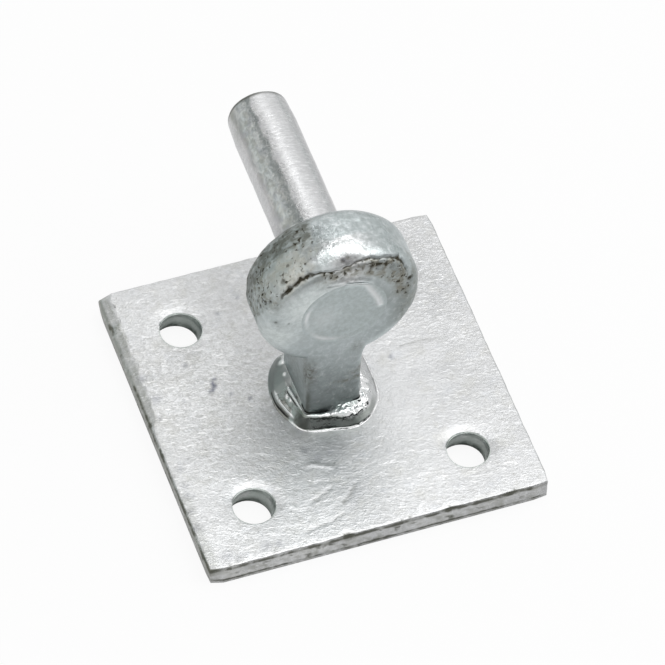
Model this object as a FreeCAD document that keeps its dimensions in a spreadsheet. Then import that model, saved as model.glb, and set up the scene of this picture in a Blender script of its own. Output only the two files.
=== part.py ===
import FreeCAD, Part
import math
import os
import Sketcher
from FreeCAD import Vector

# Gate hinge pin on a square plate, in millimetres.
# The plate lies on its back. The origin is the centre of its back face, +Z points out of its
# front, and the pin runs along +Y, clear over the plate's rear edge. The front is at -Y.

doc = FreeCAD.newDocument("GateHingePin")

# Driving dimensions
sizes = {
    "plateWidth": "100",          # along X
    "plateDepth": "100",          # along Y, the way the pin points
    "plateThickness": "7",
    "plateCornerRadius": "1.6",   # the four upright corners
    "rolledEdgeRadius": "1.9",    # the long edge at -X, rolled over by the shear
    "crispEdgeRadius": "0.6",     # the other edges of the plate's upper face
    "holeDiameter": "12",
    "holeSpacingX": "63",
    "holeSpacingY": "64",
    "holeCentreX": "0.4",         # middle of the four holes, from the plate's centre
    "holeCentreY": "-1.1",
    "holeRimRadius": "1",
    "shankWidth": "16",
    "shankDepth": "20",
    "shankCornerRadius": "1.2",
    "shankPlaceX": "-0.1",        # middle of the shank, from the plate's centre
    "shankPlaceY": "-0.2",
    "neckRadius": "14",           # hollow fillets that open from the shank into the eye
    "eyeDiameter": "46.4",
    "eyeThickness": "20",
    "eyeRimRadius": "6",
    "eyeHeight": "53.9",          # pin's axis above the plate's back
    "eyeOffset": "1.6",           # pin's axis to the +X side of the shank's middle
    "pinDiameter": "18.8",
    "pinReach": "54.5",           # free length past the eye's rear face
    "pinTaperLength": "8",
    "pinTaperDepth": "0.5",       # taken off the radius at the free end
    "pinEndRadius": "1",
    "pinSeatDiameter": "18",      # the shouldered part that stands in the eye's bore
    "pinCollarRise": "0.8",       # upset collar that bears on the eye's rear face
    "pinHeadDiameter": "23",      # lower end, headed over into the eye's countersink
    "pinHeadDepth": "2.2",
    "pinBoreClearance": "0.05",   # on the radius
    "weldLegSide": "6.6",         # from the shank's sides to the bead's toe on the plate
    "weldLegEnd": "5.6",          # from the shank's front and rear to the toe
    "weldShiftX": "0.9",          # the bead is heavier on the +X side
    "weldRise": "5.5",
    "weldCrownRadius": "4",
    "weldCornerRadius": "9",
}
sheet = doc.addObject("Spreadsheet::Sheet", "Sizes")
for row, (name, number) in enumerate(sizes.items(), start=1):
    sheet.set(f"A{row}", name)
    sheet.set(f"B{row}", number)
    sheet.setAlias(f"B{row}", name)
doc.recompute()


# The present value of an expression on the sheet
def sized(expression):
    found = sheet.evalExpression(expression)
    return float(getattr(found, "Value", found))


# Sketch helpers
def addSketch(body, name, role):
    sketch = body.newObject("Sketcher::SketchObject", name)
    plane = next(feature for feature in body.Origin.OriginFeatures if feature.Role == role)
    sketch.AttachmentSupport = [(plane, "")]
    sketch.MapMode = "FlatFace"
    return sketch


def addSize(sketch, kind, places, expression):
    index = sketch.addConstraint(Sketcher.Constraint(kind, *places, sized(expression)))
    sketch.setExpression(f"Constraints[{index}]", expression)


def fixPoint(sketch, curve, end, across, up):
    addSize(sketch, "DistanceX", (-1, 1, curve, end), across)
    addSize(sketch, "DistanceY", (-1, 1, curve, end), up)


def joinUp(sketch, curves):
    for curve, following in zip(curves, curves[1:] + curves[:1]):
        sketch.addConstraint(Sketcher.Constraint("Coincident", curve, 2, following, 1))


# A closed outline of straight lines, each corner given by two expressions
def addPolygon(sketch, corners):
    points = [Vector(sized(across), sized(up), 0) for across, up in corners]
    lines = []
    for start, end in zip(points, points[1:] + points[:1]):
        lines.append(sketch.addGeometry(Part.LineSegment(start, end), False))
    joinUp(sketch, lines)
    for line, (across, up) in zip(lines, corners):
        fixPoint(sketch, line, 1, across, up)


def addCircle(sketch, diameter, across, up):
    centre = Vector(sized(across), sized(up), 0)
    curve = Part.Circle(centre, Vector(0, 0, 1), sized(diameter) / 2)
    circle = sketch.addGeometry(curve, False)
    addSize(sketch, "Diameter", (circle,), diameter)
    fixPoint(sketch, circle, 3, across, up)


def addArc(sketch, centre, radius, first, last):
    circle = Part.Circle(centre, Vector(0, 0, 1), radius)
    return sketch.addGeometry(Part.ArcOfCircle(circle, first, last), False)


# Feature helpers
def addPad(body, name, sketch, length, sideType="One side"):
    pad = body.newObject("PartDesign::Pad", name)
    pad.Profile = sketch
    pad.SideType = sideType
    pad.setExpression("Length", length)
    doc.recompute()
    return pad


# A cut has to take something away, so the volumes before and after are compared
def addPocket(body, name, sketch, length, sideType="One side"):
    before = body.Shape.Volume
    pocket = body.newObject("PartDesign::Pocket", name)
    pocket.Profile = sketch
    pocket.SideType = sideType
    pocket.Reversed = sideType == "One side"
    pocket.setExpression("Length", length)
    doc.recompute()
    if not pocket.Shape.Volume < before:
        raise RuntimeError(f"{name} cuts nothing")
    return pocket


def addRevolution(body, name, sketch):
    turned = body.newObject("PartDesign::Revolution", name)
    turned.Profile = sketch
    turned.ReferenceAxis = (sketch, ["V_Axis"])
    turned.Angle = 360
    doc.recompute()
    return turned


def addFillet(body, name, base, wanted, radius):
    fillet = body.newObject("PartDesign::Fillet", name)
    fillet.Base = (base, edgesWhere(base.Shape, wanted))
    fillet.setExpression("Radius", radius)
    doc.recompute()
    return fillet


# Names of the edges that pass a test of the edge and its middle point
def edgesWhere(shape, wanted):
    names = []
    for number, edge in enumerate(shape.Edges, start=1):
        middle = edge.valueAt((edge.FirstParameter + edge.LastParameter) / 2)
        if wanted(edge, middle):
            names.append(f"Edge{number}")
    return names


def same(first, second):
    return abs(first - second) < 0.01


def isUpright(edge):
    return same(abs(edge.tangentAt(edge.FirstParameter).z), 1)


# Back plate: a sheared square with four bolt holes
def makeBackPlate():
    body = doc.addObject("PartDesign::Body", "BackPlate")
    body.Label = "back_plate"
    outline = addSketch(body, "PlateOutline", "XY_Plane")
    left, right = "-Sizes.plateWidth / 2", "Sizes.plateWidth / 2"
    front, rear = "-Sizes.plateDepth / 2", "Sizes.plateDepth / 2"
    addPolygon(outline, [(left, front), (right, front), (right, rear), (left, rear)])
    pad = addPad(body, "PlatePad", outline, "Sizes.plateThickness")

    def onTop(middle):
        return same(middle.z, sized("Sizes.plateThickness"))

    def isRolledEdge(edge, middle):
        return onTop(middle) and same(middle.x, sized(left))

    def isCorner(edge, middle):
        return isUpright(edge) and same(abs(middle.y), sized(rear))

    # The edge at +X runs on smoothly round both corners, so the front and rear edges follow it
    def isCrispEdge(edge, middle):
        return onTop(middle) and same(middle.x, sized(right))

    rolled = addFillet(body, "RolledEdge", pad, isRolledEdge, "Sizes.rolledEdgeRadius")
    corners = addFillet(body, "PlateCorners", rolled, isCorner, "Sizes.plateCornerRadius")
    addFillet(body, "CrispEdges", corners, isCrispEdge, "Sizes.crispEdgeRadius")

    holes = addSketch(body, "BoltHoles", "XY_Plane")
    for sideX in ("-", "+"):
        for sideY in ("-", "+"):
            addCircle(holes, "Sizes.holeDiameter",
                      f"Sizes.holeCentreX {sideX} Sizes.holeSpacingX / 2",
                      f"Sizes.holeCentreY {sideY} Sizes.holeSpacingY / 2")
    drilled = addPocket(body, "BoltHolePocket", holes, "Sizes.plateThickness")

    def isHoleRim(edge, middle):
        return onTop(middle) and edge.isClosed()

    addFillet(body, "HoleRims", drilled, isHoleRim, "Sizes.holeRimRadius")
    return body


# The shank's outline from the front: up both sides, round the hollow necks, into the eye.
# Each neck ends where it touches the edge of the eye's flat face.
def addShankOutline(sketch, eyeAcross, eyeUp):
    flatRadius = "Sizes.eyeDiameter / 2 - Sizes.eyeRimRadius"
    half, flat, neck = sized("Sizes.shankWidth / 2"), sized(flatRadius), sized("Sizes.neckRadius")
    centre = Vector(sized(eyeAcross), sized(eyeUp), 0)
    guide = sketch.addGeometry(Part.Circle(centre, Vector(0, 0, 1), flat), True)
    addSize(sketch, "Radius", (guide,), flatRadius)
    fixPoint(sketch, guide, 3, eyeAcross, eyeUp)
    foot = sketch.addGeometry(Part.LineSegment(Vector(-half, 0, 0), Vector(half, 0, 0)), False)
    fixPoint(sketch, foot, 1, "-Sizes.shankWidth / 2", "0")
    fixPoint(sketch, foot, 2, "Sizes.shankWidth / 2", "0")
    for side, footEnd in ((-1, 1), (1, 2)):
        hollow = Vector(side * (half + neck), 0, 0)
        hollow.y = centre.y - math.sqrt((flat + neck) ** 2 - (hollow.x - centre.x) ** 2)
        leaves = Vector(side * half, hollow.y, 0)
        meets = centre + (hollow - centre) * (flat / (flat + neck))
        turn = math.atan2(meets.y - hollow.y, abs(meets.x - hollow.x))
        first, last = (0, turn) if side < 0 else (math.pi - turn, math.pi)
        low, high = (1, 2) if side < 0 else (2, 1)
        wall = sketch.addGeometry(Part.LineSegment(Vector(side * half, 0, 0), leaves), False)
        arc = addArc(sketch, hollow, neck, first, last)
        spoke = sketch.addGeometry(Part.LineSegment(meets, centre), False)
        sketch.addConstraint(Sketcher.Constraint("Coincident", foot, footEnd, wall, 1))
        sketch.addConstraint(Sketcher.Constraint("Vertical", wall))
        sketch.addConstraint(Sketcher.Constraint("Tangent", wall, 2, arc, low))
        sketch.addConstraint(Sketcher.Constraint("Tangent", arc, high, guide))
        sketch.addConstraint(Sketcher.Constraint("Coincident", arc, high, spoke, 1))
        sketch.addConstraint(Sketcher.Constraint("Coincident", spoke, 2, guide, 3))
        addSize(sketch, "Radius", (arc,), "Sizes.neckRadius")


# Half of the eye's section beside the pin's axis: a flat disc with both rims rounded
def addEyeProfile(sketch):
    wide, half, rim = "Sizes.eyeDiameter / 2", "Sizes.eyeThickness / 2", "Sizes.eyeRimRadius"
    flat, level = f"{wide} - {rim}", f"{half} - {rim}"
    reach, top, radius = sized(wide), sized(half), sized(rim)
    across, up = sized(flat), sized(level)
    quarter = math.pi / 2
    lines = [
        Part.LineSegment(Vector(0, -top, 0), Vector(across, -top, 0)),
        Part.LineSegment(Vector(reach, -up, 0), Vector(reach, up, 0)),
        Part.LineSegment(Vector(across, top, 0), Vector(0, top, 0)),
        Part.LineSegment(Vector(0, top, 0), Vector(0, -top, 0)),
    ]
    front, side, rear, axis = [sketch.addGeometry(line, False) for line in lines]
    frontRim = addArc(sketch, Vector(across, -up, 0), radius, -quarter, 0)
    rearRim = addArc(sketch, Vector(across, up, 0), radius, 0, quarter)
    joinUp(sketch, [front, frontRim, side, rearRim, rear, axis])
    fixPoint(sketch, front, 1, "0", f"-({half})")
    fixPoint(sketch, front, 2, flat, f"-({half})")
    fixPoint(sketch, side, 1, wide, f"-({level})")
    fixPoint(sketch, side, 2, wide, level)
    fixPoint(sketch, rear, 1, flat, half)
    fixPoint(sketch, rear, 2, "0", half)
    addSize(sketch, "Radius", (frontRim,), rim)
    addSize(sketch, "Radius", (rearRim,), rim)


# Eye and shank: one forging. Its own frame stands at the middle of the shank's foot.
def makeEyeShank():
    body = doc.addObject("PartDesign::Body", "EyeShank")
    body.Label = "eye_shank"
    body.setExpression("Placement.Base.x", "Sizes.shankPlaceX")
    body.setExpression("Placement.Base.y", "Sizes.shankPlaceY")
    body.setExpression("Placement.Base.z", "Sizes.plateThickness")
    eyeAcross, eyeUp = "Sizes.eyeOffset", "Sizes.eyeHeight - Sizes.plateThickness"
    outline = addSketch(body, "ShankOutline", "XZ_Plane")
    addShankOutline(outline, eyeAcross, eyeUp)
    shank = addPad(body, "ShankPad", outline, "Sizes.shankDepth", "Symmetric")

    def isShankCorner(edge, middle):
        atSide = same(abs(middle.x), sized("Sizes.shankWidth / 2"))
        return isUpright(edge) and atSide

    addFillet(body, "ShankCorners", shank, isShankCorner, "Sizes.shankCornerRadius")
    profile = addSketch(body, "EyeProfile", "XY_Plane")
    profile.setExpression("AttachmentOffset.Base.x", eyeAcross)
    profile.setExpression("AttachmentOffset.Base.z", eyeUp)
    addEyeProfile(profile)
    addRevolution(body, "EyeRevolution", profile)

    # The bore, and the countersink that the pin's head is hammered into
    bore = addSketch(body, "PinBore", "XZ_Plane")
    addCircle(bore, "Sizes.pinSeatDiameter + 2 * Sizes.pinBoreClearance", eyeAcross, eyeUp)
    bored = addPocket(body, "PinBorePocket", bore, "Sizes.eyeThickness", "Symmetric")

    def isFrontMouth(edge, middle):
        return edge.isClosed() and same(middle.y, sized("-Sizes.eyeThickness / 2"))

    headStep = "(Sizes.pinHeadDiameter - Sizes.pinSeatDiameter) / 2"
    sink = body.newObject("PartDesign::Chamfer", "Countersink")
    sink.Base = (bored, edgesWhere(bored.Shape, isFrontMouth))
    sink.ChamferType = "Two distances"
    sink.setExpression("Size", f"{headStep} - Sizes.pinBoreClearance")
    sink.setExpression("Size2", f"Sizes.pinHeadDepth * (1 - Sizes.pinBoreClearance / ({headStep}))")
    doc.recompute()
    return body


# Pin: a shouldered round bar. Its own frame stands at the middle of the eye, and its axis is its Y.
def makeHingePin():
    body = doc.addObject("PartDesign::Body", "HingePin")
    body.Label = "hinge_pin"
    body.setExpression("Placement.Base.x", "Sizes.shankPlaceX + Sizes.eyeOffset")
    body.setExpression("Placement.Base.y", "Sizes.shankPlaceY")
    body.setExpression("Placement.Base.z", "Sizes.eyeHeight")
    front, rear = "-Sizes.eyeThickness / 2", "Sizes.eyeThickness / 2"
    seat, radius = "Sizes.pinSeatDiameter / 2", "Sizes.pinDiameter / 2"
    tip = f"{rear} + Sizes.pinReach"
    profile = addSketch(body, "PinProfile", "XY_Plane")
    addPolygon(profile, [
        ("0", front),
        ("Sizes.pinHeadDiameter / 2", front),
        (seat, f"{front} + Sizes.pinHeadDepth"),
        (seat, rear),
        (f"{radius} + Sizes.pinCollarRise", rear),
        (radius, f"{rear} + Sizes.pinCollarRise"),
        (radius, f"{tip} - Sizes.pinTaperLength"),
        (f"{radius} - Sizes.pinTaperDepth", tip),
        ("0", tip),
    ])
    turned = addRevolution(body, "PinRevolution", profile)

    def isTip(edge, middle):
        return edge.isClosed() and same(middle.y, sized(tip))

    addFillet(body, "PinEnd", turned, isTip, "Sizes.pinEndRadius")
    return body


# Weld: a full bead round the shank's foot, its crown rounded down to the plate
def makeBaseWeld():
    body = doc.addObject("PartDesign::Body", "BaseWeld")
    body.Label = "base_weld"
    body.setExpression("Placement.Base.x", "Sizes.shankPlaceX")
    body.setExpression("Placement.Base.y", "Sizes.shankPlaceY")
    body.setExpression("Placement.Base.z", "Sizes.plateThickness")
    wide = "(Sizes.shankWidth / 2 + Sizes.weldLegSide)"
    deep = "(Sizes.shankDepth / 2 + Sizes.weldLegEnd)"
    left, right = f"Sizes.weldShiftX - {wide}", f"Sizes.weldShiftX + {wide}"
    outline = addSketch(body, "WeldOutline", "XY_Plane")
    addPolygon(outline, [(left, f"-{deep}"), (right, f"-{deep}"), (right, deep), (left, deep)])
    pad = addPad(body, "WeldPad", outline, "Sizes.weldRise")

    def isCorner(edge, middle):
        return isUpright(edge)

    def isCrown(edge, middle):
        return same(middle.z, sized("Sizes.weldRise"))

    corners = addFillet(body, "WeldCorners", pad, isCorner, "Sizes.weldCornerRadius")
    addFillet(body, "WeldCrown", corners, isCrown, "Sizes.weldCrownRadius")

    # The shank stands in the bead, so the bead's inside has the shank's own section
    half, depth = "Sizes.shankWidth / 2", "Sizes.shankDepth / 2"
    hole = addSketch(body, "ShankHole", "XY_Plane")
    addPolygon(hole, [(f"-{half}", f"-{depth}"), (half, f"-{depth}"), (half, depth), (f"-{half}", depth)])
    ring = addPocket(body, "ShankPocket", hole, "Sizes.weldRise")

    def isInnerCorner(edge, middle):
        return isUpright(edge) and same(abs(middle.x), sized(half)) and same(abs(middle.y), sized(depth))

    addFillet(body, "ShankHoleCorners", ring, isInnerCorner, "Sizes.shankCornerRadius")
    return body


pieces = [makeBackPlate(), makeEyeShank(), makeHingePin(), makeBaseWeld()]

# Nothing is written unless every object recomputed well and every piece is one sound solid
for item in doc.Objects:
    if "Invalid" in item.State or "Error" in item.State:
        raise RuntimeError(f"{item.Name} failed: {item.getStatusString()}")
for piece in pieces:
    shape = piece.Shape
    if shape.isNull() or not shape.isValid() or len(shape.Solids) != 1:
        raise RuntimeError(f"{piece.Label} is not one sound solid")

os.makedirs("parts", exist_ok=True)
for piece in pieces:
    piece.Shape.exportStep(f"parts/{piece.Label}.step")
    print(f"{piece.Label}: {piece.Shape.Volume / 1000:.2f} cm3, {piece.Shape.optimalBoundingBox()}")
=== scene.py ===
import math
import bmesh
import bpy
import numpy as np
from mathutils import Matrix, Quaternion, Vector


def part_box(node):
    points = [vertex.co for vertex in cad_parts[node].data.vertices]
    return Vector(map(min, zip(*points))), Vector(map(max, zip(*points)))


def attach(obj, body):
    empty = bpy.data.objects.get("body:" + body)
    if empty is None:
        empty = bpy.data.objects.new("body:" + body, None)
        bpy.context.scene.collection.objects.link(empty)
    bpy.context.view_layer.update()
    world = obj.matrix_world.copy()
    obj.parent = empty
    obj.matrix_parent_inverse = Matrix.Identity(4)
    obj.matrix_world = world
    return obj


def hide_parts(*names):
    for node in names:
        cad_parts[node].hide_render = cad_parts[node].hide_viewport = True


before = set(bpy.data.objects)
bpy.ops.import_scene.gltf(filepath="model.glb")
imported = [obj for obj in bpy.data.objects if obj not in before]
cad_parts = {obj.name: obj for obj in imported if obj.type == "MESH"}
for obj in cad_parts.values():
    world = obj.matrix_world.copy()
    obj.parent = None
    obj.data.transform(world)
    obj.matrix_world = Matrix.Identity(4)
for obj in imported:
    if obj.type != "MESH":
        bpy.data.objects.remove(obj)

# Galvanised gate hinge pin on a square plate. Sizes and places are in millimetres in the frame
# of the CAD model: the plate lies on the floor, and the pin points along +Y.
mm = 0.001
noiseCells = 32    # a noise repeats after this many cells
scene = bpy.context.scene
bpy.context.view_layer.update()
print("frame loaded")


# Smooth noise from -1 to 1, its cells of the given size in millimetres
def smoothNoise(points, size, seed):
    lattice = np.random.default_rng(seed).uniform(-1, 1, (noiseCells,) * 3)
    scaled = points / size
    cell = np.floor(scaled).astype(int)
    part = scaled - cell
    part = part * part * (3 - 2 * part)
    total = np.zeros(len(points))
    for corner in np.ndindex(2, 2, 2):
        share = np.prod(np.where(corner, part, 1 - part), axis=1)
        i, j, k = ((cell + corner) % noiseCells).T
        total += share * lattice[i, j, k]
    return total


# Smooth noise with finer and weaker layers on top
def layeredNoise(points, size, seed, layers=3):
    return sum(smoothNoise(points, np.divide(size, 2 ** n), seed + n) / 2 ** n for n in range(layers))


# 0 below low, 1 above high, and smooth between them
def ramp(value, low, high):
    part = np.clip((value - low) / (high - low), 0, 1)
    return part * part * (3 - 2 * part)


# The other way round
def fade(value, low, high):
    return 1 - ramp(value, low, high)


# 1 at zero, falling away to nothing at about twice the width
def hump(value, width):
    return np.exp(-(value / width) ** 2)


# A hump about a place. Its reach is one number, or one for each axis.
def spotAt(points, place, reach):
    return hump(np.linalg.norm((points - place) / reach, axis=1), 1)


# The sum of such spots: place, reach and strength
def addSpots(points, spots):
    return sum(strength * spotAt(points, place, reach) for place, reach, strength in spots)


# The turn from one direction to another, from -180 to 180 degrees
def turnFrom(angle, start):
    return (angle - start + 180) % 360 - 180


# Distance from each point to a line through the given places
def pathDistance(points, path):
    nearest = np.full(len(points), np.inf)
    for start, end in zip(np.array(path[:-1], float), np.array(path[1:], float)):
        run = end - start
        along = np.clip((points - start) @ run / (run @ run), 0, 1)
        away = points - start - along[:, None] * run
        nearest = np.minimum(nearest, np.linalg.norm(away, axis=1))
    return nearest


# Rows and columns of points that meet round the side, as faces
def faceLoops(loops):
    faces = []
    for loop, following in zip(loops, loops[1:]):
        turned, ahead = np.roll(loop, -1), np.roll(following, -1)
        faces.append(np.stack([loop, turned, ahead, following], axis=1))
    return np.concatenate(faces)


# A mesh object from points in millimetres, with its faces turned outwards
def addMesh(name, points, faces):
    mesh = bpy.data.meshes.new(name)
    mesh.from_pydata(np.asarray(points) * mm, [], [face for face in faces])
    piece = bpy.data.objects.new(name, mesh)
    scene.collection.objects.link(piece)
    tidy = bmesh.new()
    tidy.from_mesh(mesh)
    bmesh.ops.recalc_face_normals(tidy, faces=tidy.faces)
    tidy.to_mesh(mesh)
    tidy.free()
    mesh.shade_smooth()
    return piece


# The points of a mesh and the directions out of it, in millimetres
def readPoints(piece):
    mesh = piece.data
    points = np.empty(len(mesh.vertices) * 3)
    outward = np.empty(len(mesh.vertices) * 3)
    mesh.vertices.foreach_get("co", points)
    mesh.vertex_normals.foreach_get("vector", outward)
    return points.reshape(-1, 3) / mm, outward.reshape(-1, 3)


def writePoints(piece, points):
    piece.data.vertices.foreach_set("co", (points * mm).ravel())
    piece.data.update()


# Values for every point of a mesh, for its finish to read by name
def writeMasks(piece, **masks):
    for name, values in masks.items():
        mask = piece.data.attributes.new(name, "FLOAT", "POINT")
        mask.data.foreach_set("value", np.clip(values, 0, 1))


# A fine, even copy of a CAD node, to press and dent
def copyNode(node, name, voxel, rounds):
    piece = bpy.data.objects.new(name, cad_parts[node].data.copy())
    scene.collection.objects.link(piece)
    remesh = piece.modifiers.new("Even skin", "REMESH")
    remesh.mode = "VOXEL"
    remesh.voxel_size = voxel * mm
    soften = piece.modifiers.new("Soft edges", "SMOOTH")
    soften.factor = 0.5
    soften.iterations = rounds
    seen = piece.evaluated_get(bpy.context.evaluated_depsgraph_get())
    skin = bpy.data.meshes.new_from_object(seen)
    piece.modifiers.clear()
    piece.data = skin
    skin.materials.clear()
    skin.shade_smooth()
    return piece


# Gives a finished piece its body and its material, and hides the CAD node that it replaces
def fitPiece(piece, node, material):
    piece.data.materials.append(material)
    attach(piece, "root")
    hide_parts(node)
    print(piece.name, len(piece.data.polygons), "faces")


# A shader socket. Sums on it add Math nodes, and node() adds any other node to its tree.
class Wire:
    def __init__(self, tree, socket=None):
        self.tree = tree
        self.socket = socket

    def node(self, kind, settings, sockets, output=0):
        made = self.tree.nodes.new("ShaderNode" + kind)
        for name, value in settings.items():
            setattr(made, name, value)
        for name, value in sockets.items():
            if isinstance(value, Wire):
                self.tree.links.new(value.socket, made.inputs[name])
            else:
                made.inputs[name].default_value = value
        return Wire(self.tree, made.outputs[output] if made.outputs else None)

    def math(self, operation, *values):
        return self.node("Math", {"operation": operation}, dict(enumerate(values)))

    def __add__(self, other):
        return self.math("ADD", self, other)

    def __sub__(self, other):
        return self.math("SUBTRACT", self, other)

    def __rsub__(self, other):
        return self.math("SUBTRACT", other, self)

    def __mul__(self, other):
        return self.math("MULTIPLY", self, other)

    __radd__ = __add__
    __rmul__ = __mul__

    # 0 at low, 1 at high, smooth between them
    def ramp(self, low, high):
        span = {"interpolation_type": "SMOOTHSTEP"}
        return self.node("MapRange", span, {"Value": self, "From Min": low, "From Max": high})

    # Noise at these coordinates, from 0 to 1 about 0.5, its grains of the given size
    def noise(self, size, detail=2.0, roughness=0.55, warp=0.0):
        sockets = {"Vector": self, "Scale": 1 / size, "Detail": detail, "Roughness": roughness}
        return self.node("TexNoise", {}, {**sockets, "Distortion": warp})

    # These coordinates turned about Z and squeezed, to stretch a pattern
    def stretch(self, turn, factors):
        sockets = {"Vector": self, "Rotation": (0, 0, math.radians(turn)), "Scale": factors}
        return self.node("Mapping", {"vector_type": "TEXTURE"}, sockets)

    # From one colour to another by this factor
    def tint(self, first, second):
        return self.node("Mix", {"data_type": "RGBA"}, {0: self, 6: first, 7: second}, 2)


# A new material and its object coordinates in millimetres
def newFinish(name):
    material = bpy.data.materials.new(name)
    material.use_nodes = True
    material.node_tree.nodes.clear()
    start = Wire(material.node_tree)
    metres = start.node("TexCoord", {}, {}, "Object")
    return material, metres.node("VectorMath", {"operation": "SCALE"}, {0: metres, "Scale": 1 / mm})


# The values that the mesh carries under these names
def readMasks(start, names):
    return [start.node("Attribute", {"attribute_name": name}, {}, "Fac") for name in names.split()]


# Lays colours one over another, each where its own value says
def layCoats(colour, coats):
    for where, shade in coats:
        colour = where.tint(colour, shade)
    return colour


def grey(level, blue=0.0):
    return (level * (1 - blue), level, level * (1 + blue), 1)


# The greenish grey of dull zinc
def zinc(level):
    return (level * 0.91, level, level * 0.975, 1)


# Galvanised metal: colour, roughness and relief vary over it
def closeFinish(colour, roughness, height, metallic=1.0):
    normal = height.node("Bump", {}, {"Height": height, "Distance": mm})
    sockets = {"Base Color": colour, "Roughness": roughness, "Metallic": metallic, "Normal": normal}
    metal = height.node("BsdfPrincipled", {}, sockets)
    height.node("OutputMaterial", {}, {"Surface": metal})


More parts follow.
